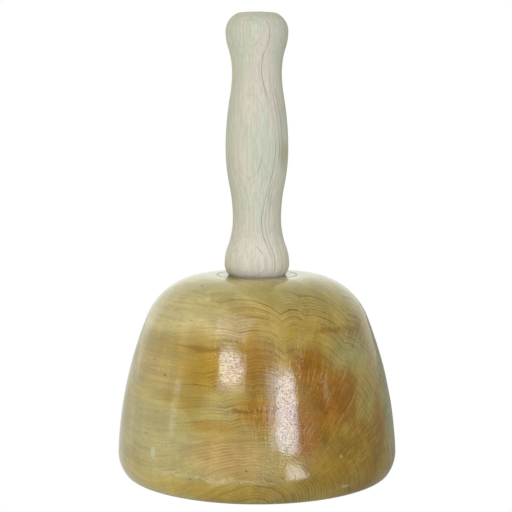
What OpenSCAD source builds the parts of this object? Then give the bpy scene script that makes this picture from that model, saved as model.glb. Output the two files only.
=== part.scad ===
// Round wooden mallet: a turned, bell-shaped head on a turned handle.
// The handle's tenon runs right through the head and is spread in its belled
// mouth by one hardwood wedge driven from below.
// Millimetres, +Z up. The origin is the centre of the head's flat base. The handle
// stands up along +Z, and the head's fibres run along X.

/* [Head] */
// Widest diameter of the head
head_d = 150; // [140:1:165]
// Height of the head, from its base to the seat of the handle
head_h = 106; // [100:1:112]
// Radius of the rounded heel between the wall and the base
heel_r = 17.5; // [14:0.5:20]
// Height at which the head is widest
heel_z = 11.3; // [9:0.1:13]
// Radius that eases the corner between the heel and the base
base_edge_r = 3; // [2:0.5:5]
// Radius of the long curve of the wall
wall_r = 220; // [200:5:300]
// Lean of the wall where it leaves the heel, in degrees
wall_lean = 2.8; // [1:0.1:4]
// Radius of the shoulder between the wall and the flat top
shoulder_r = 35.5; // [30:0.5:38]

/* [Scribed ring on the head's top] */
// Radius of the ring
ring_r = 21.3; // [19:0.1:24]
// Width of the ring's groove
ring_w = 0.9; // [0.6:0.1:1.2]
// Depth of the ring's groove
ring_depth = 0.45; // [0.3:0.05:0.8]

/* [Handle] */
// Length of the handle above the head
grip_l = 138.5; // [137:0.5:145]
// Widest diameter of the foot that seats on the head
foot_d = 34.7; // [33:0.1:37]
// Height of the foot's widest part above the head
foot_z = 6; // [5:0.1:8]
// Radius that rolls the foot in under itself
foot_roll_r = 9; // [8.5:0.5:12]
// Diameter of the waist between the foot and the belly
waist_d = 25.8; // [24:0.1:28]
// Height of the waist above the head
waist_z = 30.5; // [27:0.5:34]
// Diameter of the belly that fills the palm
belly_d = 33.4; // [31:0.1:36]
// Height of the belly above the head
belly_z = 67.5; // [60:0.5:74]
// Diameter of the neck below the knob
neck_d = 26.4; // [24:0.1:28]
// Height of the neck above the head
neck_z = 108; // [102:0.5:112]
// Diameter of the knob that stops the hand
knob_d = 33.2; // [31:0.1:36]
// Height of the knob's widest part above the head
knob_z = 129; // [126:0.5:131]
// Diameter of the flat end
end_d = 20.6; // [18:0.1:23]
// Radius that eases the rim of the flat end
end_edge_r = 1.5; // [1:0.1:2.5]
// Diameter of the lathe's centre mark in the flat end
centre_mark_d = 2.4; // [1.5:0.1:4]

/* [Tenon and wedge] */
// Diameter of the bore through the head
bore_d = 25; // [22:0.5:27]
// Glue line between the tenon and the bore
glue_gap = 0.1; // [0.05:0.01:0.2]
// Length of the bore's belled mouth, up from the base
mouth_l = 60; // [58:1:70]
// Length of the oval that the mouth opens to at the base, along the head's fibres
mouth_d = 28.6; // [27.5:0.1:30]
// Width of the saw kerf in the tenon
kerf_w = 1.6; // [1.2:0.1:2]
// Depth of the saw kerf
kerf_l = 54; // [50:1:60]
// Length of the wedge
wedge_l = 45; // [38:1:48]
// Thickness of the wedge at its driven end
wedge_t = 5.2; // [4:0.1:6]

/* [Hidden] */

// A curve's chords leave it by no more than this
chord_error = 0.01;
// Sides of a turned surface
turned_sides = 180;
// A cutting shape runs this far past the face that it opens
past = 1;
// Of the two arcs between a widest and a narrowest place of the grip, the lower one's
// share of their radii
foot_share = 0.37;
waist_share = 0.465;
belly_share = 0.685;
neck_share = 0.59;
// The mouth is this much wider than the bore across the head's fibres
mouth_side_gain = 0.2;
// Half angle of the lathe's centre mark, from its axis
centre_mark_half_angle = 30;

total_h = head_h + grip_l;

// Centre of the heel's arc, and of the three arcs that leave it tangentially
heel_c = [head_d / 2 - heel_r, heel_z];
wall_c = heel_c - (wall_r - heel_r) * [cos(wall_lean), sin(wall_lean)];
base_edge_drop = asin((heel_z - base_edge_r) / (heel_r - base_edge_r));
base_edge_c = heel_c + (heel_r - base_edge_r) * [cos(base_edge_drop), -sin(base_edge_drop)];
shoulder_c = inside_tangent(wall_c, wall_r, shoulder_r, head_h - shoulder_r);
shoulder_start = angle_to(wall_c, shoulder_c);

// Centre of an arc of radius r at height z that touches a larger arc from inside
function inside_tangent(big_c, big_r, r, z) =
    [big_c.x + sqrt((big_r - r) ^ 2 - (z - big_c.y) ^ 2), z];

function angle_to(from, to) = atan2(to.y - from.y, to.x - from.x);

// Points of an arc about c, from angle a0 to angle a1, both ends included
function arc(c, r, a0, a1) =
    let (step = 2 * acos(1 - chord_error / r), n = ceil(abs(a1 - a0) / step))
    [for (i = [0:n]) let (a = a0 + (a1 - a0) * i / n) c + r * [cos(a), sin(a)]];

// Two tangent arcs that carry a turned outline from one widest or narrowest place to the
// next, where it runs parallel to the axis. share is the first arc's part of their radii.
function ogee(from, to, share) =
    let (
        rise = to.x - from.x,
        run = to.y - from.y,
        radii = (rise ^ 2 + run ^ 2) / (2 * abs(rise)),
        turn = asin(run / radii),
        r0 = share * radii,
        r1 = radii - r0,
        outward = sign(rise)
    )
    outward > 0
        ? concat(
            arc(from + [r0, 0], r0, 180, 180 - turn),
            tail(arc(to - [r1, 0], r1, -turn, 0))
        )
        : concat(
            arc(from - [r0, 0], r0, 0, turn),
            tail(arc(to + [r1, 0], r1, 180 + turn, 180))
        );

// A list without its first item, which the list before it already ends with
function tail(points) = [for (i = [1:len(points) - 1]) points[i]];

// ---------------------------------------------------------------- head

// Half outline of the head, from the axis at the base up to the axis at the top
function head_outline() = concat(
    [[0, 0]],
    arc(base_edge_c, base_edge_r, -90, -base_edge_drop),
    tail(arc(heel_c, heel_r, -base_edge_drop, 0)),
    tail(arc(heel_c, heel_r, 0, wall_lean)),
    tail(arc(wall_c, wall_r, wall_lean, shoulder_start)),
    tail(arc(shoulder_c, shoulder_r, shoulder_start, 90)),
    [
        [ring_r + ring_w / 2, head_h],
        [ring_r, head_h - ring_depth],
        [ring_r - ring_w / 2, head_h],
        [0, head_h]
    ]
);

module head() {
    color("#b48a45")
        difference() {
            rotate_extrude($fn = turned_sides) polygon(head_outline());
            bore();
        }
}

// The hole through the head: straight for most of its depth, belled below
module bore() {
    translate([0, 0, mouth_l])
        cylinder(h = head_h - mouth_l + past, d = bore_d, $fn = turned_sides);
    belled_mouth(0, past);
}

// The belled mouth, made smaller all round by shrink and carried on below the base by
// below. It opens along the head's fibres, so that the wedge can't split the head.
module belled_mouth(shrink, below) {
    slope = (mouth_d - bore_d) / 2 / mouth_l;
    half_width = (bore_d + mouth_side_gain) / 2 - shrink;
    intersection() {
        translate([0, 0, -below])
            cylinder(
                h = mouth_l + below,
                r1 = mouth_d / 2 - shrink + slope * below,
                r2 = bore_d / 2 - shrink,
                $fn = turned_sides
            );
        translate([-mouth_d, -half_width, -2 * below])
            cube([2 * mouth_d, 2 * half_width, mouth_l + 4 * below]);
    }
}

// ---------------------------------------------------------------- handle

// Half outline of the handle above the belled part of its tenon
function handle_outline() =
    let (
        tenon_r = bore_d / 2 - glue_gap,
        foot = [foot_d / 2, head_h + foot_z],
        waist = [waist_d / 2, head_h + waist_z],
        belly = [belly_d / 2, head_h + belly_z],
        neck = [neck_d / 2, head_h + neck_z],
        knob = [knob_d / 2, head_h + knob_z],
        mark_depth = centre_mark_d / 2 / tan(centre_mark_half_angle)
    )
    concat(
        [[0, mouth_l], [tenon_r, mouth_l], [tenon_r, head_h]],
        arc(foot - [foot_roll_r, 0], foot_roll_r, -asin(foot_z / foot_roll_r), 0),
        tail(ogee(foot, waist, foot_share)),
        tail(ogee(waist, belly, waist_share)),
        tail(ogee(belly, neck, belly_share)),
        tail(ogee(neck, knob, neck_share)),
        tail(knob_crown(knob)),
        [[centre_mark_d / 2, total_h], [0, total_h - mark_depth]]
    );

// The knob's crown: one arc up from its widest place, then a small one onto the flat end
function knob_crown(knob) =
    let (
        rise = total_h - knob.y,
        inset = knob.x - end_d / 2,
        crown_r = (inset ^ 2 + rise ^ 2) / (2 * inset),
        crown_c = knob - [crown_r, 0],
        edge_c = inside_tangent(crown_c, crown_r, end_edge_r, total_h - end_edge_r),
        meet = angle_to(crown_c, edge_c)
    )
    concat(arc(crown_c, crown_r, 0, meet), tail(arc(edge_c, end_edge_r, meet, 90)));

module handle() {
    color("#cfc8b0")
        difference() {
            union() {
                rotate_extrude($fn = turned_sides) polygon(handle_outline());
                belled_mouth(glue_gap, 0);
            }
            across_grain() polygon(kerf_outline());
        }
}

// The saw kerf as the wedge leaves it: spread into a V below, parallel above
function kerf_outline() = [
    [-wedge_t / 2 - wedge_slope() * past, -past],
    [wedge_t / 2 + wedge_slope() * past, -past],
    [kerf_w / 2, wedge_l],
    [kerf_w / 2, kerf_l],
    [-kerf_w / 2, kerf_l],
    [-kerf_w / 2, wedge_l]
];

function wedge_slope() = (wedge_t - kerf_w) / 2 / wedge_l;

// ---------------------------------------------------------------- wedge

module wedge() {
    color("#a8743c")
        intersection() {
            across_grain()
                polygon([
                    [-wedge_t / 2, 0],
                    [wedge_t / 2, 0],
                    [kerf_w / 2, wedge_l],
                    [-kerf_w / 2, wedge_l]
                ]);
            belled_mouth(glue_gap, 0);
        }
}

// Stands an outline up and runs it right across the tenon, square to the head's fibres
module across_grain() {
    rotate([90, 0, 0])
        linear_extrude(height = 2 * mouth_d, center = true)
            children();
}

head();
handle();
wedge();
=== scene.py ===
"""Looks for the round mallet: a varnished, cross-grained head on a plain turned handle."""

import math
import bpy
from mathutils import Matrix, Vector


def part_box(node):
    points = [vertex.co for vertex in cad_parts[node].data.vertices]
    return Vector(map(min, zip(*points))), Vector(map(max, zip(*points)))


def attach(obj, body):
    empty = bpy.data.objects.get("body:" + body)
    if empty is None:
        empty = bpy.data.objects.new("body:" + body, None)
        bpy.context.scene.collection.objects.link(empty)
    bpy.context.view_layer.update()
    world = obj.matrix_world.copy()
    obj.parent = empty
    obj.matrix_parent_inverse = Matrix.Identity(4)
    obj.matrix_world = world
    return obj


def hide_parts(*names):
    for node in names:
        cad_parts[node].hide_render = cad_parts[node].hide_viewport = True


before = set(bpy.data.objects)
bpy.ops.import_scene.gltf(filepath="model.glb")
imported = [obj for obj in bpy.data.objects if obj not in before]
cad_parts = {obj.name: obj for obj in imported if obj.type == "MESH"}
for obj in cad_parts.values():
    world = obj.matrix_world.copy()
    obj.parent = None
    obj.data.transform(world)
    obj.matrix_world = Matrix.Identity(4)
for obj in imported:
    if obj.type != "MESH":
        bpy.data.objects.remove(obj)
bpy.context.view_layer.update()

from types import SimpleNamespace

import bpy
from mathutils import Vector, noise

MM = 0.001

# ------------------------------------------------------------------ sizes, in millimetres

# The head: its heel, the corner onto the base, the wall, the shoulder and the scribed ring
HEAD_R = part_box("head")[1].x / MM
HEAD_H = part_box("head")[1].z / MM
HEEL_R, HEEL_Z = 17.5, 11.3
BASE_EDGE_R = 3.0
WALL_R, WALL_LEAN = 220.0, math.radians(2.8)
SHOULDER_R = 35.5
RING_R, RING_W, RING_DEPTH = 21.3, 0.9, 0.45

# The grip: radius and height of its widest and narrowest places
GRIP_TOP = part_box("handle")[1].z / MM
FOOT = (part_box("handle")[1].x / MM, HEAD_H + 6.0)
FOOT_ROLL_R = 9.0
WAIST = (12.9, HEAD_H + 30.5)
BELLY = (16.7, HEAD_H + 67.5)
NECK = (13.2, HEAD_H + 108.0)
KNOB = (16.6, HEAD_H + 129.0)
# The first arc's share of the radii, between each of those places and the next
SHARES = (0.37, 0.465, 0.685, 0.59)
# The flat end and the lathe's mark in it
END_R, END_EDGE_R = 10.3, 1.5
MARK_R, MARK_DEPTH = 1.2, 2.1

# The joint: the bore and its belled mouth, the saw kerf and the wedge
BORE_R = 12.5
GLUE_GAP = 0.1
MOUTH_L, MOUTH_R, MOUTH_HALF_W = 60.0, 14.3, 12.6
# Nearer the axis than this, the head's surfaces stay true.
TRUE_R = BORE_R + 1
KERF_L, KERF_W = 54.0, 1.6
WEDGE_L, WEDGE_T = 45.0, 5.2
WEDGE_HALF_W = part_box("wedge")[1].y / MM

# ------------------------------------------------------------------ outlines


def arc(centre, radius, start, end, step):
    """Points of an arc from angle start to angle end, about one every step."""
    count = max(2, math.ceil(abs(end - start) * radius / step))
    angles = [start + (end - start) * i / count for i in range(count + 1)]
    return [(centre[0] + radius * math.cos(a), centre[1] + radius * math.sin(a)) for a in angles]


def line(start, end, step):
    """Points of a straight line, about one every step."""
    count = max(1, math.ceil(math.dist(start, end) / step))
    return [tuple(a + (b - a) * i / count for a, b in zip(start, end)) for i in range(count + 1)]


def chain(*stretches):
    """One outline from stretches that each start where the last one ends."""
    points = list(stretches[0])
    for stretch in stretches[1:]:
        points += stretch[1:]
    return points


def inside_tangent(big_centre, big_r, r, z):
    """Centre, at height z, of an arc of radius r that touches a larger arc from inside."""
    return (big_centre[0] + math.sqrt((big_r - r) ** 2 - (z - big_centre[1]) ** 2), z)


def angle_to(start, end):
    return math.atan2(end[1] - start[1], end[0] - start[0])


def ogee(start, end, share, step):
    """Two tangent arcs from one widest or narrowest place to the next."""
    rise, run = end[0] - start[0], end[1] - start[1]
    radii = (rise ** 2 + run ** 2) / (2 * abs(rise))
    turn = math.asin(run / radii)
    r0, r1 = share * radii, (1 - share) * radii
    if rise > 0:
        first = arc((start[0] + r0, start[1]), r0, math.pi, math.pi - turn, step)
        second = arc((end[0] - r1, end[1]), r1, -turn, 0, step)
    else:
        first = arc((start[0] - r0, start[1]), r0, 0, turn, step)
        second = arc((end[0] + r1, end[1]), r1, math.pi + turn, math.pi, step)
    return chain(first, second)


def head_outline(step):
    """Closed outline of the head's section: base, wall, top and down the bore."""
    heel = (HEAD_R - HEEL_R, HEEL_Z)
    reach = WALL_R - HEEL_R
    wall = (heel[0] - reach * math.cos(WALL_LEAN), heel[1] - reach * math.sin(WALL_LEAN))
    inset = HEEL_R - BASE_EDGE_R
    drop = math.asin((HEEL_Z - BASE_EDGE_R) / inset)
    edge = (heel[0] + inset * math.cos(drop), heel[1] - inset * math.sin(drop))
    shoulder = inside_tangent(wall, WALL_R, SHOULDER_R, HEAD_H - SHOULDER_R)
    meet = angle_to(wall, shoulder)
    groove_out, groove_in = RING_R + RING_W / 2, RING_R - RING_W / 2
    return chain(
        line((MOUTH_R, 0), (edge[0], 0), 2 * step),
        arc(edge, BASE_EDGE_R, -math.pi / 2, -drop, step / 3),
        arc(heel, HEEL_R, -drop, WALL_LEAN, step),
        arc(wall, WALL_R, WALL_LEAN, meet, step),
        arc(shoulder, SHOULDER_R, meet, math.pi / 2, step),
        line((shoulder[0], HEAD_H), (groove_out, HEAD_H), step),
        line((groove_out, HEAD_H), (RING_R, HEAD_H - RING_DEPTH), step / 3),
        line((RING_R, HEAD_H - RING_DEPTH), (groove_in, HEAD_H), step / 3),
        line((groove_in, HEAD_H), (BORE_R, HEAD_H), step),
        line((BORE_R, HEAD_H), (BORE_R, MOUTH_L), 4 * step),
        line((BORE_R, MOUTH_L), (MOUTH_R, 0), 4 * step),
    )[:-1]


def handle_outline(step):
    """Outline of the handle's section, from the tenon's end up to the middle of the flat end."""
    crown_r = ((KNOB[0] - END_R) ** 2 + (GRIP_TOP - KNOB[1]) ** 2) / (2 * (KNOB[0] - END_R))
    crown = (KNOB[0] - crown_r, KNOB[1])
    rim = inside_tangent(crown, crown_r, END_EDGE_R, GRIP_TOP - END_EDGE_R)
    meet = angle_to(crown, rim)
    roll = math.asin((FOOT[1] - HEAD_H) / FOOT_ROLL_R)
    seat = (FOOT[0] - FOOT_ROLL_R * (1 - math.cos(roll)), HEAD_H)
    tenon_r = BORE_R - GLUE_GAP
    return chain(
        line((0, 0), (MOUTH_R - GLUE_GAP, 0), 2 * step),
        line((MOUTH_R - GLUE_GAP, 0), (tenon_r, MOUTH_L), 4 * step),
        line((tenon_r, MOUTH_L), (tenon_r, HEAD_H), 4 * step),
        line((tenon_r, HEAD_H), seat, step),
        arc((FOOT[0] - FOOT_ROLL_R, FOOT[1]), FOOT_ROLL_R, -roll, 0, step),
        ogee(FOOT, WAIST, SHARES[0], step),
        ogee(WAIST, BELLY, SHARES[1], step),
        ogee(BELLY, NECK, SHARES[2], step),
        ogee(NECK, KNOB, SHARES[3], step),
        arc(crown, crown_r, 0, meet, step),
        arc(rim, END_EDGE_R, meet, math.pi / 2, step / 3),
        line((rim[0], GRIP_TOP), (MARK_R, GRIP_TOP), step),
        line((MARK_R, GRIP_TOP), (0, GRIP_TOP - MARK_DEPTH), step / 2),
    )


# ------------------------------------------------------------------ meshes


def mouth_radius(r, z, angle, shrink):
    """How far out the bore's wall is at this angle: the belled mouth is flat-sided."""
    if z >= MOUTH_L or r > MOUTH_R:
        return r
    across = abs(math.sin(angle))
    half_width = MOUTH_HALF_W - shrink
    return min(r, half_width / across) if across > 0 else r


def turned(name, outline, sides, closed, shrink):
    """A mesh turned from an outline of (radius, height) points round the Z axis."""
    vertices, rings = [], []
    for r, z in outline:
        if r == 0:
            rings.append([len(vertices)] * sides)
            vertices.append((0, 0, z * MM))
            continue
        rings.append(list(range(len(vertices), len(vertices) + sides)))
        for i in range(sides):
            angle = 2 * math.pi * i / sides
            reach = mouth_radius(r, z, angle, shrink) * MM
            vertices.append((reach * math.cos(angle), reach * math.sin(angle), z * MM))
    faces = []
    for k in range(len(rings) if closed else len(rings) - 1):
        low, high = rings[k], rings[(k + 1) % len(rings)]
        for i in range(sides):
            j = (i + 1) % sides
            corners = [low[i], low[j], high[j], high[i]]
            faces.append(list(dict.fromkeys(corners)))
    mesh = bpy.data.meshes.new(name)
    mesh.from_pydata(vertices, [], faces)
    mesh.validate()
    mesh.shade_smooth()
    piece = bpy.data.objects.new(name, mesh)
    bpy.context.scene.collection.objects.link(piece)
    return piece


def uneven(piece, depth, size, low_z, high_z):
    """Moves a turned surface in and out a little, as hand sanding leaves it."""
    for vertex in piece.data.vertices:
        place = vertex.co / MM
        if place.xy.length < TRUE_R or not low_z < place.z < high_z:
            continue
        fade = min(1, (place.z - low_z) / size, (high_z - place.z) / size)
        outward = Vector((place.x, place.y, 0)).normalized()
        vertex.co += outward * fade * depth * MM * noise.noise(place / size)


def prism(name, outline, half_length):
    """A closed prism whose outline of (x, z) points runs along Y."""
    count = len(outline)
    vertices = [(x * MM, y * MM, z * MM) for y in (-half_length, half_length) for x, z in outline]
    sides = [(i, count + i, count + (i + 1) % count, (i + 1) % count) for i in range(count)]
    ends = [tuple(range(count)), tuple(reversed(range(count, 2 * count)))]
    mesh = bpy.data.meshes.new(name)
    mesh.from_pydata(vertices, [], sides + ends)
    mesh.validate()
    piece = bpy.data.objects.new(name, mesh)
    bpy.context.scene.collection.objects.link(piece)
    return piece


def cut(piece, tool):
    """Cuts piece with tool and removes the tool."""
    modifier = piece.modifiers.new("cut", "BOOLEAN")
    modifier.operation = "DIFFERENCE"
    modifier.object = tool
    modifier.solver = "EXACT"
    depsgraph = bpy.context.evaluated_depsgraph_get()
    result = bpy.data.meshes.new_from_object(piece.evaluated_get(depsgraph))
    piece.modifiers.clear()
    piece.data = result
    bpy.data.objects.remove(tool)


def sharpen(piece, degrees):
    """Keeps edges steeper than this crisp and shades the rest smooth."""
    piece.data.set_sharp_from_angle(angle=math.radians(degrees))


# ------------------------------------------------------------------ shader graphs


class Graph:
    """Adds nodes to a node tree and joins them up."""

    def __init__(self, tree):
        self.tree = tree
        self.tree.nodes.clear()

    def node(self, kind, inputs, **settings):
        node = self.tree.nodes.new("ShaderNode" + kind)
        for key, value in settings.items():
            setattr(node, key, value)
        for key, value in inputs.items():
            if isinstance(value, bpy.types.NodeSocket):
                self.tree.links.new(value, node.inputs[key])
            else:
                node.inputs[key].default_value = value
        return node

    def math(self, operation, *values):
        return self.node("Math", dict(enumerate(values)), operation=operation).outputs[0]

    def vector(self, operation, *values):
        inputs = dict(enumerate(values))
        if operation == "SCALE":
            inputs = {0: values[0], "Scale": values[1]}
        node = self.node("VectorMath", inputs, operation=operation)
        return node.outputs["Value" if operation in ("DOT_PRODUCT", "LENGTH") else "Vector"]

    def noise(self, place, scale, detail=2.0, roughness=0.5, output="Fac"):
        inputs = {"Vector": place, "Scale": scale, "Detail": detail, "Roughness": roughness}
        return self.node("TexNoise", inputs).outputs[output]

    def grain(self, place, pattern):
        """Noise from a pattern: stretch, scale, detail, roughness."""
        stretch, scale, detail, roughness = pattern
        return self.noise(self.vector("MULTIPLY", place, stretch), scale, detail, roughness)

    def step(self, value, low, high, to_low=0.0, to_high=1.0):
        """Rises smoothly from to_low to to_high as value goes from low to high."""
        inputs = {"Value": value, "From Min": low, "From Max": high}
        inputs.update({"To Min": to_low, "To Max": to_high})
        return self.node("MapRange", inputs, interpolation_type="SMOOTHSTEP").outputs[0]

    def mix(self, factor, a, b):
        """Colour a where factor is 0, b where it is 1."""
        return self.node("Mix", {0: factor, 6: a, 7: b}, data_type="RGBA").outputs[2]

    def product(self, first, *others):
        for other in others:
            first = self.math("MULTIPLY", first, other)
        return first

    def total(self, first, *others):
        for other in others:
            first = self.math("ADD", first, other)
        return first

    def gap(self, value, middle):
        """How far a value is from middle, either way."""
        return self.math("ABSOLUTE", self.math("SUBTRACT", value, middle))

    def blob(self, place, centre, size, edge=0.6):
        """1 inside an ellipsoid with these half sizes, fading to 0 across its edge."""
        away = self.vector("DIVIDE", self.vector("SUBTRACT", place, centre), size)
        return self.step(self.vector("LENGTH", away), 1 - edge, 1 + edge, 1.0, 0.0)

    def spots(self, colour, place, table, edge=0.6):
        """Lays coloured blobs from a table of (centre, half size, colour, strength) over a colour."""
        for centre, size, tint, amount in table:
            share = self.math("MULTIPLY", self.blob(place, centre, size, edge), amount)
            colour = self.mix(share, colour, srgb(*tint))
        return colour

    def tint(self, colour, amount, tint):
        """Lays an srgb colour over another, by amount."""
        return self.mix(amount, colour, srgb(*tint))

    def warp(self, place, stretch, scale, reach):
        """Moves a place about by noise, up to about half of reach."""
        shift = self.noise(self.vector("MULTIPLY", place, stretch), scale, 2, output="Color")
        shift = self.vector("SUBTRACT", shift, (0.5, 0.5, 0.5))
        return self.vector("ADD", place, self.vector("SCALE", shift, reach))

    def ramp(self, value, *stops):
        """Colour by value, from (position, colour) stops."""
        node = self.node("ValToRGB", {"Fac": value})
        elements = node.color_ramp.elements
        while len(elements) < len(stops):
            elements.new(1.0)
        for element, (position, colour) in zip(elements, stops):
            element.position = position
            element.color = colour
        return node.outputs["Color"]

    def xyz(self, x, y, z):
        return self.node("CombineXYZ", {0: x, 1: y, 2: z}).outputs[0]


def srgb(red, green, blue):
    """A colour from its usual 0 to 255 values."""
    def linear(value):
        value /= 255
        return value / 12.92 if value <= 0.04045 else ((value + 0.055) / 1.055) ** 2.4
    return (linear(red), linear(green), linear(blue), 1.0)


def new_material(name):
    material = bpy.data.materials.new(name)
    material.use_nodes = True
    return material, Graph(material.node_tree)


def place_in_mm(g):
    return g.vector("SCALE", g.node("TexCoord", {}).outputs["Object"], 1 / MM)


# ------------------------------------------------------------------ head wood

# The pith of the log runs along X, just under the base and off to one side.
PITH_Y, PITH_Z = -48.0, -4.0
# Where the growth rings dip towards the pith: degrees from straight up, half width in degrees,
# and depth as a share of the ring's radius
FLUTES = ((13.6, 5.5, 0.05), (2.5, 4.0, 0.02), (20.0, 4.0, 0.02), (-9.0, 7.0, 0.03),
          (34.0, 8.0, 0.03), (52.0, 9.0, 0.02))
RING_SPACING, FIRST_RING, FINE_SPACING = 3.25, 103.2, 1.5
# Angles round the pith are turned into distances at this radius.
ARC_R = 62.0
# Radius and strength of the darkest rings
DARK_RINGS = ((103.2, 1.0), (99.6, 0.6), (96.0, 0.5), (89.6, 0.8), (84.0, 0.8), (68.0, 0.5))

# Coloured patches, and one painted reflection on the heel: centre, half size, colour, strength
STAINS_AND_SHEEN = (
    ((3, -57, 88), (40, 14, 10), (208, 188, 128), 0.85),
    ((0, -66, 62), (22, 14, 14), (190, 158, 92), 0.75),
    ((22, -57, 78), (16, 12, 5), (192, 158, 82), 0.7),
    ((30, -57, 63), (15, 14, 12), (182, 142, 46), 0.9),
    ((27, -57, 75), (14, 10, 1.4), (150, 112, 40), 0.75),
    ((20, -67, 50), (14, 12, 4), (168, 134, 42), 0.7),
    ((3, -73, 30), (30, 16, 15), (182, 166, 108), 0.8),
    ((38, -61, 39), (13, 10, 3), (170, 130, 42), 0.7),
    ((46, -58, 25), (16, 15, 11), (196, 158, 90), 0.9),
    ((49, -42, 70), (12, 10, 12), (156, 108, 14), 0.85),
    ((55, -44, 45), (12, 9, 9), (162, 108, 6), 0.85),
    ((53, -46, 46), (14, 14, 0.9), (118, 76, 16), 0.7),
    ((44, -38, 90), (16, 12, 9), (190, 158, 84), 0.7),
    ((50, 0, 94), (16, 18, 9), (170, 146, 70), 0.8),
    ((58, 5, 83), (10, 17, 1.4), (134, 90, 12), 0.7),
    ((60, 17, 80), (8, 9, 4), (134, 98, 16), 0.8),
    ((63, 10, 71), (16, 15, 9), (156, 146, 88), 0.85),
    ((62, -18, 66), (12, 9, 10), (138, 88, 2), 1.0),
    ((68, -6, 49), (12, 16, 13), (138, 86, 2), 1.0),
    ((69, -25, 33), (10, 8, 11), (146, 92, 2), 1.0),
    ((70, 15, 48), (12, 7, 13), (158, 144, 72), 0.7),
    ((72, -8, 29), (12, 12, 7), (124, 92, 10), 0.7),
    ((74, 14, 22), (12, 16, 14), (144, 112, 18), 0.8),
    ((73, -17, 15), (14, 17, 8), (144, 108, 14), 0.8),
    ((60, 44, 42), (15, 13, 30), (158, 152, 102), 0.75),
    ((38, -62, 6.5), (36, 28, 4.5), (192, 156, 58), 0.85),
    # Painted reflection: a pale thin line where the heel's curve changes, standing in for the floor's
    # reflection
    ((44, -60, 12.8), (30, 24, 0.9), (214, 192, 140), 0.55),
)
# Small marks on the surface: centre, half size, colour, strength
MARKS = (
    ((6.7, -73.9, 22.0), (1.9, 3, 2.6), (196, 194, 150), 0.75),
    ((15.9, -45.7, 98.2), (1.6, 1.6, 1.6), (204, 200, 160), 0.5),
    ((12.0, -47.5, 96.6), (2.4, 1.2, 1.2), (198, 192, 150), 0.4),
    ((3.4, -39.8, 103.2), (1.0, 0.7, 0.7), (70, 52, 18), 0.9),
    ((7.5, -66.7, 60.6), (1.1, 2, 0.45), (74, 54, 20), 0.7),
    ((53.6, -51.9, 18.1), (0.5, 2, 0.5), (84, 56, 16), 0.8),
    ((30.3, -68.5, 12.1), (0.9, 2, 0.4), (94, 70, 26), 0.6),
    ((74.0, -4.8, 6.5), (2, 2.2, 0.8), (180, 174, 136), 0.5),
    ((74.5, -7.5, 22.0), (2, 0.8, 0.6), (180, 172, 130), 0.5),
    ((74.5, 4.0, 19.0), (2, 0.6, 0.6), (180, 172, 130), 0.5),
)
SIDE_PALE, SIDE_DEEP = (192, 174, 106), (168, 142, 62)
END_PALE, END_DEEP = (164, 138, 58), (146, 102, 14)
RING_BROWN, PORE_BROWN, RAY_PALE, BARE = (118, 70, 8), (84, 54, 12), (198, 168, 84), (190, 176, 136)
# A dark colour for the scribed ring, also used as painted shade under the foot; and the colour of
# scuffs
RING_DARK_AND_FOOT_SHADE, SCUFF = (40, 38, 26), (96, 80, 54)
# How strongly each pattern shows in the colour
RING_SHOWS, FINE_SHOWS, RAY_SHOWS, DASH_SHOWS = 0.8, 0.26, 0.28, 0.55
RING_DARK_AND_FOOT_SHADE_SHOWS, BARE_SHOWS, SCUFF_SHOWS = 0.8, 0.45, 0.5
# Where the painted shade round the foot starts and stops fading, outward from the foot
FOOT_SHADE_EDGE = (0.45, 1.45)

# Patterns round the pith. The stretch is along the fibres, round the pith and out from it.
RAYS = ((0.15, 1.5, 0.09), 1.0, 3, 0.65)
STREAKS = ((0.035, 0.1, 1), 1.2, 4, 0.65)
DASHES = ((0.14, 0.25, 1), 1.3, 2, 0.5)
FLECKS = ((0.25, 0.25, 1), 2.8, 2, 0.6)
# Patterns through the block. The stretch is along X, Y and Z.
RING_PATCHES = ((0.6, 1, 1), 0.07, 2, 0.5)
RAY_PATCHES = ((1, 1, 1), 0.06, 2, 0.5)
DASH_PATCHES = ((1, 1, 1), 0.06, 1, 0.5)
PANELS = ((1, 1, 0.2), 0.14, 2, 0.5)
BANDS = ((0.05, 1, 1), 0.16, 2, 0.5)
SPECKLE = ((0.3, 1, 1), 2.4, 2, 0.6)
CLOUD = ((0.5, 1, 1), 0.03, 3, 0.5)
SCUFFS = ((0.2, 1, 1), 0.3, 4, 0.7)
WEAR_EDGE = ((1, 1, 1), 0.35, 3, 0.5)

# Relief under the varnish: its depth in metres, and each pattern's share
HEAD_RELIEF, RELIEF_STRENGTH = 0.0001, 0.35
RING_RELIEF, RAY_RELIEF, STREAK_RELIEF, FLECK_RELIEF = -0.2, 0.15, 0.3, -0.8
WORN_RELIEF_LOSS = 0.6
VARNISH_IOR = 1.6
# The varnish's roughness, and what flecks and wear add to it
GLOSS, FLECK_ROUGHNESS, WORN_ROUGHNESS = (0.04, 0.06), 0.02, 0.4


def head_rings(g, place):
    """Distance from the pith with the flutes taken out, and the angle round it from straight up."""
    split = g.node("SeparateXYZ", {0: place})
    across = g.math("SUBTRACT", split.outputs[1], PITH_Y)
    up = g.math("SUBTRACT", split.outputs[2], PITH_Z)
    turn = g.math("ARCTAN2", across, up)
    stretch = 1.0
    for middle, half_width, depth in FLUTES:
        gap = g.gap(turn, math.radians(middle))
        near = g.math("SUBTRACT", 1.0, g.math("DIVIDE", gap, math.radians(half_width)))
        near = g.math("MAXIMUM", near, 0.0)
        stretch = g.math("ADD", stretch, g.product(near, near, depth))
    radius = g.vector("LENGTH", g.xyz(across, up, 0.0))
    return g.math("MULTIPLY", radius, stretch), turn


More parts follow.
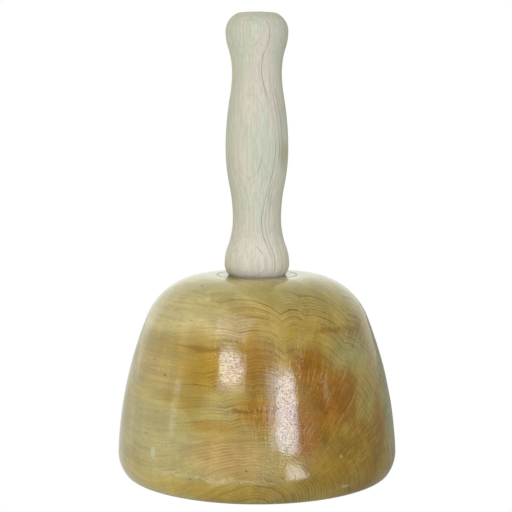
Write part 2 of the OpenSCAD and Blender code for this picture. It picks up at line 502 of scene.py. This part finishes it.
def ring_lines(g, place, radius, figured):
    """The broad brown growth rings and the fine ones between them."""
    ring = g.math("DIVIDE", g.math("SUBTRACT", radius, FIRST_RING), RING_SPACING)
    phase = g.math("FRACT", ring)
    number = g.math("FLOOR", ring)
    strength = g.node("TexWhiteNoise", {"W": number}, noise_dimensions="1D").outputs["Value"]
    late = g.product(g.step(phase, 0.5, 0.92), g.step(phase, 0.92, 1.0, 1.0, 0.0))
    late = g.product(late, g.step(strength, 0.2, 1.0, 0.15, 0.7))
    for middle, dark in DARK_RINGS:
        late = g.math("MAXIMUM", late, g.step(g.gap(radius, middle), 0.1, 0.7, dark, 0.0))
    patchy = g.grain(place, RING_PATCHES)
    late = g.product(late, g.step(patchy, 0.32, 0.62, 0.25, 1.0))
    late = g.product(late, g.math("MULTIPLY_ADD", figured, 0.8, 0.2))
    phase = g.math("FRACT", g.math("DIVIDE", radius, FINE_SPACING))
    fine = g.product(g.step(phase, 0.2, 0.8), g.step(phase, 0.8, 1.0, 1.0, 0.0))
    fine = g.product(fine, g.step(patchy, 0.4, 0.6, 0.2, 1.0))
    fine = g.product(fine, g.math("MULTIPLY_ADD", figured, 0.9, 0.1))
    return late, fine


def head_figure(g, place):
    """The patterns in the head's wood. Its fibres run along X, in layers round the pith."""
    figure = SimpleNamespace()
    x = g.node("SeparateXYZ", {0: place}).outputs[0]
    normal = g.node("SeparateXYZ", {0: g.node("NewGeometry", {}).outputs["Normal"]})
    facing = g.math("ABSOLUTE", normal.outputs[0])
    figure.end_grain = g.step(facing, 0.6, 0.95)
    figure.shown = g.step(facing, 0.2, 0.6)
    swayed = g.warp(g.warp(place, (0.3, 1, 1), 0.05, 2.0), (0.2, 1, 1), 0.35, 0.6)
    radius, turn = head_rings(g, swayed)
    layered = g.xyz(x, g.math("MULTIPLY", turn, ARC_R), radius)
    figure.late, figure.fine = ring_lines(g, place, radius, figure.shown)
    rays = g.step(g.grain(layered, RAYS), 0.5, 0.62)
    ray_patches = g.step(g.grain(place, RAY_PATCHES), 0.42, 0.58, 0.3, 1.0)
    figure.rays = g.product(rays, ray_patches, g.step(facing, 0.35, 0.75))
    dash_patches = g.step(g.grain(place, DASH_PATCHES), 0.42, 0.58)
    figure.dashes = g.product(g.step(g.grain(layered, DASHES), 0.66, 0.76), dash_patches)
    figure.streaks = g.grain(layered, STREAKS)
    figure.fleck = g.step(g.grain(layered, FLECKS), 0.53, 0.65)
    figure.panels = g.grain(place, PANELS)
    figure.bands = g.grain(place, BANDS)
    figure.speckle = g.grain(place, SPECKLE)
    return figure


def head_colour(g, place, figure):
    """The varnished wood's colour, with one painted reflection on the heel, before marks, wear and
    painted shade.
    """
    cloud = g.step(g.grain(place, CLOUD), 0.35, 0.65)
    side = g.mix(cloud, srgb(*SIDE_DEEP), srgb(*SIDE_PALE))
    end = g.mix(cloud, srgb(*END_DEEP), srgb(*END_PALE))
    colour = g.mix(figure.end_grain, side, end)
    feathered = g.warp(g.warp(place, (0.5, 1, 1), 0.08, 8.0), (0.03, 1, 1), 0.8, 4.0)
    # Stains, and the painted reflection along the heel
    colour = g.spots(colour, feathered, STAINS_AND_SHEEN)
    tone = g.product(
        g.step(figure.streaks, 0.32, 0.68, 0.9, 1.07),
        g.step(figure.panels, 0.35, 0.65, 0.94, 1.05),
        g.step(figure.bands, 0.3, 0.7, 0.9, 1.08),
        g.step(figure.speckle, 0.3, 0.7, 0.9, 1.09),
        g.math("MULTIPLY_ADD", figure.fine, -FINE_SHOWS, 0.95),
    )
    colour = g.vector("SCALE", colour, tone)
    colour = g.tint(colour, g.math("MULTIPLY", figure.late, RING_SHOWS), RING_BROWN)
    colour = g.tint(colour, g.math("MULTIPLY", figure.rays, RAY_SHOWS), RAY_PALE)
    colour = g.tint(colour, g.math("MULTIPLY", figure.dashes, DASH_SHOWS), PORE_BROWN)
    fleck_shows = g.math("MULTIPLY_ADD", figure.shown, 0.12, 0.06)
    return g.tint(colour, g.product(figure.fleck, fleck_shows), PORE_BROWN)


def head_wear_and_shade(g, place, figure, colour):
    """Darkens the scribed ring, paints shade in the crevice under the foot and adds a worn base.
    Returns colour and wear.
    """
    height = g.node("SeparateXYZ", {0: place}).outputs[2]
    from_axis = g.vector("LENGTH", g.vector("MULTIPLY", place, (1, 1, 0)))
    groove = g.step(g.gap(from_axis, RING_R), 0.35, 0.8, 1.0, 0.0)
    # Painted shade in the crevice under the foot
    foot_shade = g.step(g.math("SUBTRACT", from_axis, FOOT[0]), *FOOT_SHADE_EDGE, 1.0, 0.0)
    ring_dark_and_foot_shade = g.math("MAXIMUM", groove, foot_shade)
    ring_dark_and_foot_shade = g.product(ring_dark_and_foot_shade, g.step(height, HEAD_H - 1.0, HEAD_H - 0.6))
    ring_dark_and_foot_shade = g.product(ring_dark_and_foot_shade, g.step(figure.speckle, 0.3, 0.6, 0.5, 1.0))
    # The scribed ring darkened, and painted shade under the foot
    colour = g.tint(colour, g.math("MULTIPLY", ring_dark_and_foot_shade, RING_DARK_AND_FOOT_SHADE_SHOWS), RING_DARK_AND_FOOT_SHADE)
    ragged = g.math("MULTIPLY_ADD", g.grain(place, WEAR_EDGE), 2.4, height)
    worn = g.step(ragged, 1.4, 3.2, 1.0, 0.0)
    scuffs = g.step(g.grain(g.warp(place, (1, 1, 1), 0.1, 4.0), SCUFFS), 0.45, 0.7)
    colour = g.tint(colour, g.math("MULTIPLY", worn, BARE_SHOWS), BARE)
    return g.tint(colour, g.product(worn, scuffs, SCUFF_SHOWS), SCUFF), worn


def head_wood():
    material, g = new_material("head_wood")
    place = place_in_mm(g)
    figure = head_figure(g, place)
    colour = head_colour(g, place, figure)
    colour = g.spots(colour, g.warp(place, (1, 1, 1), 0.5, 1.6), MARKS, 0.4)
    colour, worn = head_wear_and_shade(g, place, figure, colour)
    height = g.total(
        g.product(figure.late, RING_RELIEF),
        g.product(figure.fine, RING_RELIEF),
        g.product(figure.rays, RAY_RELIEF),
        g.product(figure.streaks, STREAK_RELIEF),
        g.product(figure.fleck, FLECK_RELIEF),
    )
    height = g.product(height, g.math("MULTIPLY_ADD", worn, -WORN_RELIEF_LOSS, 1.0))
    relief = {"Strength": RELIEF_STRENGTH, "Distance": HEAD_RELIEF, "Height": height}
    rough = g.total(
        g.step(figure.bands, 0.35, 0.65, *GLOSS),
        g.product(figure.fleck, FLECK_ROUGHNESS),
        g.product(worn, WORN_ROUGHNESS),
    )
    shader = g.node("BsdfPrincipled", {
        "Base Color": colour,
        "Roughness": rough,
        "IOR": VARNISH_IOR,
        "Normal": g.node("Bump", relief).outputs[0],
    })
    g.node("OutputMaterial", {"Surface": shader.outputs[0]})
    return material


# ------------------------------------------------------------------ handle wood

# The growth rings in the handle are nearly flat sheets, square to this direction (in degrees).
SHEET_AZIMUTH = -55.0
SHEET_SPACING = 2.15
# They lie deeper away from the belly, by this much per mm.
SHEET_SAG, BELLY_Z = 0.04, 173.5
# The ones that show: distance from the axis, strength, middle and half length of the visible part
DARK_SHEETS = (
    (14.9, 0.9, 158, 12),
    (10.4, 0.85, 175, 75),
    (9.3, 0.75, 132, 28),
    (6.1, 0.8, 190, 24),
    (8.1, 0.7, 170, 50),
    (12.9, 0.75, 112, 12),
    (5.2, 0.6, 120, 16),
    (-7.0, 0.7, 150, 60),
    (-11.5, 0.8, 190, 70),
)
# A line widens as its sheet grazes the surface: it is divided by the slant, down to this one.
LEAST_SLANT = 0.12
HANDLE_GREY, HANDLE_PINK, HANDLE_PALE = (193, 193, 170), (203, 194, 175), (219, 210, 190)
HANDLE_STAIN, HANDLE_LINE = (176, 164, 134), (104, 82, 62)
# The stain on the belly: centre and half size
SMUDGE = ((15.5, 5.5, 171), (4, 4, 7))
FOOT_PALENESS, SMUDGE_SHOWS, LINE_SHOWS, PORE_SHOWS = 0.85, 0.7, 0.6, 0.3

# Patterns: stretch along X, Y and Z, then scale, detail, roughness
HANDLE_FIBRES = ((1, 1, 0.02), 1.1, 3, 0.65)
HANDLE_HAIRS = ((1, 1, 0.06), 2.6, 2, 0.6)
HANDLE_PORES = ((1, 1, 0.12), 1.8, 1, 0.5)
HANDLE_CLOUD = ((1, 1, 0.3), 0.09, 2, 0.5)
LINE_BREAKS = ((1, 1, 0.3), 0.2, 2, 0.5)

HANDLE_RELIEF = 0.00015
FIBRE_RELIEF, HAIR_RELIEF, PORE_RELIEF, LINE_RELIEF = 0.6, 0.5, -0.8, -0.4
BARE_WOOD_ROUGHNESS, BARE_WOOD_SPECULAR = (0.62, 0.75), 0.3


def sheet_lines(g, place, height):
    """Thin dark lines where the ring sheets meet the surface."""
    turn = math.radians(SHEET_AZIMUTH)
    across = (math.cos(turn), math.sin(turn), 0)
    along = (-math.sin(turn), math.cos(turn), 0)
    swayed = g.warp(g.warp(place, (1, 1, 0.5), 0.04, 1.6), (1, 1, 0.3), 0.25, 0.6)
    sag = g.product(g.gap(height, BELLY_Z), SHEET_SAG)
    depth = g.math("SUBTRACT", g.vector("DOT_PRODUCT", swayed, across), sag)
    square = g.vector("DOT_PRODUCT", g.node("NewGeometry", {}).outputs["Normal"], across)
    slant = g.math("SQRT", g.math("SUBTRACT", 1.0, g.math("MULTIPLY", square, square)))
    slant = g.math("MAXIMUM", slant, LEAST_SLANT)
    sheet = g.math("DIVIDE", depth, SHEET_SPACING)
    nearest = g.math("ROUND", sheet)
    strength = g.node("TexWhiteNoise", {"W": nearest}, noise_dimensions="1D").outputs["Value"]
    gap = g.math("DIVIDE", g.math("MULTIPLY", g.gap(sheet, nearest), SHEET_SPACING), slant)
    lines = g.product(g.step(gap, 0.1, 0.5, 1.0, 0.0), strength, 0.18)
    for level, dark, middle, reach in DARK_SHEETS:
        gap = g.math("DIVIDE", g.gap(depth, level), slant)
        shown = g.step(g.gap(height, middle), 0.7 * reach, reach, dark, 0.0)
        lines = g.math("MAXIMUM", lines, g.product(g.step(gap, 0.06, 0.38, 1.0, 0.0), shown))
    lines = g.product(lines, g.step(g.vector("DOT_PRODUCT", place, along), -4.0, 3.0, 0.35, 1.0))
    return g.product(lines, g.step(g.grain(place, LINE_BREAKS), 0.36, 0.54, 0.3, 1.0))


def handle_colour(g, place, height):
    """The bare wood's own colour, cleaner near the foot and stained on the belly."""
    cloud = g.step(g.grain(place, HANDLE_CLOUD), 0.38, 0.62)
    colour = g.mix(cloud, srgb(*HANDLE_GREY), srgb(*HANDLE_PINK))
    near_foot = g.step(height, FOOT[1] + 4, WAIST[1], FOOT_PALENESS, 0.0)
    colour = g.tint(colour, near_foot, HANDLE_PALE)
    smudge = g.blob(g.warp(place, (1, 1, 0.4), 0.2, 3.0), *SMUDGE)
    return g.tint(colour, g.math("MULTIPLY", smudge, SMUDGE_SHOWS), HANDLE_STAIN)


def handle_wood():
    material, g = new_material("handle_wood")
    place = place_in_mm(g)
    height = g.node("SeparateXYZ", {0: place}).outputs[2]
    lines = sheet_lines(g, place, height)
    fibres = g.grain(place, HANDLE_FIBRES)
    hairs = g.grain(place, HANDLE_HAIRS)
    pores = g.step(g.grain(place, HANDLE_PORES), 0.72, 0.8)
    colour = handle_colour(g, place, height)
    tone = g.product(
        g.step(fibres, 0.32, 0.68, 0.9, 1.07),
        g.step(hairs, 0.32, 0.68, 0.93, 1.05),
    )
    colour = g.vector("SCALE", colour, tone)
    colour = g.tint(colour, g.math("MULTIPLY", lines, LINE_SHOWS), HANDLE_LINE)
    colour = g.tint(colour, g.math("MULTIPLY", pores, PORE_SHOWS), HANDLE_LINE)

    bumps = g.total(
        g.product(fibres, FIBRE_RELIEF),
        g.product(hairs, HAIR_RELIEF),
        g.product(pores, PORE_RELIEF),
        g.product(lines, LINE_RELIEF),
    )
    relief = {"Strength": RELIEF_STRENGTH, "Distance": HANDLE_RELIEF, "Height": bumps}
    shader = g.node("BsdfPrincipled", {
        "Base Color": colour,
        "Roughness": g.step(hairs, 0.3, 0.7, *BARE_WOOD_ROUGHNESS),
        "Specular IOR Level": BARE_WOOD_SPECULAR,
        "Normal": g.node("Bump", relief).outputs[0],
    })
    g.node("OutputMaterial", {"Surface": shader.outputs[0]})
    return material


# ------------------------------------------------------------------ wedge wood

WEDGE_DARK, WEDGE_PALE, WEDGE_RING = (112, 70, 34), (164, 116, 64), (84, 50, 24)
WEDGE_FIBRES = ((1, 1, 0.06), 2.2, 4, 0.6)
# Growth rings across the wedge's width, in radians per mm
WEDGE_RING_PITCH, WEDGE_RING_SHOWS = 3.2, 0.35
WEDGE_RELIEF, WEDGE_RELIEF_STRENGTH = 0.0001, 0.4


def wedge_wood():
    material, g = new_material("wedge_wood")
    place = place_in_mm(g)
    fibres = g.grain(place, WEDGE_FIBRES)
    across = g.node("SeparateXYZ", {0: place}).outputs[1]
    wave = g.math("SINE", g.math("MULTIPLY", across, WEDGE_RING_PITCH))
    rings = g.step(wave, 0.2, 1.0)
    colour = g.mix(g.step(fibres, 0.3, 0.7), srgb(*WEDGE_DARK), srgb(*WEDGE_PALE))
    colour = g.tint(colour, g.math("MULTIPLY", rings, WEDGE_RING_SHOWS), WEDGE_RING)
    relief = {"Strength": WEDGE_RELIEF_STRENGTH, "Distance": WEDGE_RELIEF, "Height": fibres}
    shader = g.node("BsdfPrincipled", {
        "Base Color": colour,
        "Roughness": g.step(fibres, 0.3, 0.7, 0.45, 0.65),
        "Normal": g.node("Bump", relief).outputs[0],
    })
    g.node("OutputMaterial", {"Surface": shader.outputs[0]})
    return material


# ------------------------------------------------------------------ pieces

HEAD_SIDES, HEAD_STEP = 320, 1.1
HANDLE_SIDES, HANDLE_STEP = 160, 0.9
# Hand sanding leaves broad and small unevenness: depth, size
UNEVENNESS = ((0.12, 16.0), (0.025, 5.0))
# It fades out towards the base and the flat top.
UNEVEN_FROM, UNEVEN_TO = 4.0, HEAD_H - 1.0
CRISP_ANGLE = 35
# How far the kerf's cutter reaches past the tenon's end
OVERCUT = 1.0


def build_head():
    piece = turned("mallet_head", head_outline(HEAD_STEP), HEAD_SIDES, True, 0.0)
    for depth, size in UNEVENNESS:
        uneven(piece, depth, size, UNEVEN_FROM, UNEVEN_TO)
    sharpen(piece, CRISP_ANGLE)
    piece.data.materials.append(head_wood())
    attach(piece, "root")
    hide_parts("head")


def build_handle():
    piece = turned("mallet_handle", handle_outline(HANDLE_STEP), HANDLE_SIDES, False, GLUE_GAP)
    spread = (WEDGE_T - KERF_W) / 2 / WEDGE_L
    end_x = WEDGE_T / 2 + spread * OVERCUT
    kerf = prism("kerf", [
        (-end_x, -OVERCUT),
        (end_x, -OVERCUT),
        (KERF_W / 2, WEDGE_L),
        (KERF_W / 2, KERF_L),
        (-KERF_W / 2, KERF_L),
        (-KERF_W / 2, WEDGE_L),
    ], 2 * MOUTH_R)
    cut(piece, kerf)
    sharpen(piece, CRISP_ANGLE)
    piece.data.materials.clear()
    piece.data.materials.append(handle_wood())
    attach(piece, "root")
    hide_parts("handle")


def build_wedge():
    piece = prism("mallet_wedge", [
        (-WEDGE_T / 2, 0),
        (WEDGE_T / 2, 0),
        (KERF_W / 2, WEDGE_L),
        (-KERF_W / 2, WEDGE_L),
    ], WEDGE_HALF_W)
    piece.data.materials.append(wedge_wood())
    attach(piece, "root")
    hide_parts("wedge")


# ------------------------------------------------------------------ studio

# The camera looks from this side of the mallet. Lights are placed to its left and right.
CAMERA_AZIMUTH = -40.0
CAMERA_DISTANCE, CAMERA_HEIGHT = 0.7, 0.1862
CAMERA_PITCH, CAMERA_YAW = 5.73, 0.04
LENS, SENSOR = 92.2, 36.0
LIGHT_TARGET, LIGHT_DISTANCE = Vector((0, 0, 0.05)), 1.2
# A light lying on the floor right of the camera, which gives the glint on the heel
BOUNCE_AZIMUTH, BOUNCE_DISTANCE, BOUNCE_HEIGHT = 24.0, 0.2, 0.002
LIGHT_SHAPE_AREA = {"RECTANGLE": 1.0, "ELLIPSE": math.pi / 4}
FLOOR_HALF, FLOOR_DROP = 3.0, 0.0003
# The floor's brightness left and right of the mallet, and where it changes, in metres
FLOOR_GLOW, FLOOR_GLOW_REACH = (0.85, 0.35), (-0.1, 0.02)
FLOOR_TINT = (0.95, 1, 0.95, 1)
# The tent's strength at its left and right
TENT_GLOW = (1.2, 0.85)
# The tent's colour, from the side behind the mallet (0) to the camera's side (1)
TENT = (
    (0.0, (1.15, 1.2, 1.1, 1)),
    (0.13, (1.1, 1.15, 1.06, 1)),
    (0.2, (0.63, 0.72, 0.65, 1)),
    (0.55, (0.55, 0.58, 0.46, 1)),
    (0.8, (0.12, 0.12, 0.07, 1)),
    (1.0, (0.03, 0.03, 0.02, 1)),
)


def around(azimuth, elevation, distance):
    """A point that far from the mallet, azimuth degrees to the right of the camera."""
    turn, rise = math.radians(CAMERA_AZIMUTH + azimuth), math.radians(elevation)
    flat = Vector((math.cos(turn), math.sin(turn), 0)) * math.cos(rise)
    return LIGHT_TARGET + (flat + Vector((0, 0, math.sin(rise)))) * distance


def make_camera():
    data = bpy.data.cameras.new("camera")
    data.lens = LENS
    data.sensor_width = SENSOR
    camera = bpy.data.objects.new("camera", data)
    bpy.context.scene.collection.objects.link(camera)
    turn = math.radians(CAMERA_AZIMUTH)
    flat = Vector((math.cos(turn), math.sin(turn), 0)) * CAMERA_DISTANCE
    camera.location = flat + Vector((0, 0, CAMERA_HEIGHT))
    heading = turn + math.pi / 2 + math.radians(CAMERA_YAW)
    camera.rotation_euler = (math.pi / 2 - math.radians(CAMERA_PITCH), 0, heading)
    bpy.context.scene.camera = camera


def softbox(name, azimuth, elevation, size, radiance, tint, shape="RECTANGLE"):
    """A soft light facing the mallet. radiance is its brightness, seen directly."""
    data = bpy.data.lights.new(name, "AREA")
    data.shape = shape
    data.size, data.size_y = size
    data.energy = radiance * math.pi * size[0] * size[1] * LIGHT_SHAPE_AREA[shape]
    data.color = tint
    light = bpy.data.objects.new(name, data)
    bpy.context.scene.collection.objects.link(light)
    light.location = around(azimuth, elevation, LIGHT_DISTANCE)
    aim = LIGHT_TARGET - light.location
    light.rotation_euler = aim.to_track_quat("-Z", "Y").to_euler()
    light.visible_camera = False
    return light


def make_lights():
    softbox("key", 20, 10.5, (0.46, 0.56), 3.3, (0.86, 0.92, 1.06))
    softbox("key_core", 24.5, 9.5, (0.35, 0.5), 9.0, (0.83, 0.89, 1.06))
    softbox("window", -23, 21.5, (0.48, 0.27), 3.0, (0.88, 0.93, 1.05))
    softbox("window_core", -24.5, 23, (0.42, 0.23), 6.4, (0.85, 0.91, 1.06), "ELLIPSE")
    softbox("strip_left", -72, 5, (0.14, 0.34), 1.7, (1, 1, 1))
    softbox("strip_right", 62, 12, (0.1, 0.14), 2.5, (0.9, 0.95, 1.1))
    softbox("overhead", -28, 46, (0.65, 0.6), 2.2, (1.0, 0.9, 0.95))
    bounce = softbox("bounce", BOUNCE_AZIMUTH, 0, (0.12, 0.036), 9.0, (0.95, 0.95, 0.95))
    bounce.location = around(BOUNCE_AZIMUTH, 0, BOUNCE_DISTANCE)
    bounce.location.z = BOUNCE_HEIGHT
    bounce.rotation_euler = (math.pi, 0, math.radians(CAMERA_AZIMUTH + BOUNCE_AZIMUTH))


def white_to_camera(g, kind, lit):
    """Plain white where the camera sees it, and lit as the mallet sees it."""
    white = g.node(kind, {"Color": (1, 1, 1, 1), "Strength": 1.0})
    seen = g.node("LightPath", {}).outputs["Is Camera Ray"]
    return g.node("MixShader", {0: seen, 1: lit.outputs[0], 2: white.outputs[0]}).outputs[0]


def sideways(g, place):
    """How far right of the mallet a place is, as the camera sees it."""
    turn = math.radians(CAMERA_AZIMUTH)
    return g.vector("DOT_PRODUCT", place, (-math.sin(turn), math.cos(turn), 0))


def make_world():
    """A white tent: dim in front, light at the sides and brightest behind, white to the camera."""
    world = bpy.data.worlds.new("tent")
    world.use_nodes = True
    bpy.context.scene.world = world
    g = Graph(world.node_tree)
    turn = math.radians(CAMERA_AZIMUTH)
    direction = g.node("TexCoord", {}).outputs["Generated"]
    frontal = g.vector("DOT_PRODUCT", direction, (math.cos(turn), math.sin(turn), 0))
    level = g.ramp(g.math("MULTIPLY_ADD", frontal, 0.5, 0.5), *TENT)
    strength = g.step(sideways(g, direction), -0.8, 0.8, *TENT_GLOW)
    tent = g.node("Background", {"Color": level, "Strength": strength})
    g.node("OutputWorld", {"Surface": white_to_camera(g, "Background", tent)})


def make_floor():
    """A plain white floor, clear when seen from below so that it doesn't hide the underside."""
    mesh = bpy.data.meshes.new("floor")
    corners = [(x, y, 0) for x, y in ((-1, -1), (1, -1), (1, 1), (-1, 1))]
    mesh.from_pydata([Vector(corner) * FLOOR_HALF for corner in corners], [], [(0, 1, 2, 3)])
    floor = bpy.data.objects.new("floor", mesh)
    floor.location.z = -FLOOR_DROP
    bpy.context.scene.collection.objects.link(floor)
    material, g = new_material("floor")
    place = g.node("TexCoord", {}).outputs["Object"]
    glow = g.step(sideways(g, place), *FLOOR_GLOW_REACH, *FLOOR_GLOW)
    lit = g.node("Emission", {"Color": FLOOR_TINT, "Strength": glow})
    below = g.node("NewGeometry", {}).outputs["Backfacing"]
    clear = g.node("BsdfTransparent", {}).outputs[0]
    one_sided = g.node("MixShader", {0: below, 1: white_to_camera(g, "Emission", lit), 2: clear})
    g.node("OutputMaterial", {"Surface": one_sided.outputs[0]})
    floor.data.materials.append(material)


build_head()
build_handle()
build_wedge()
make_camera()
make_lights()
make_world()
make_floor()
bpy.context.scene.view_settings.view_transform = "Standard"
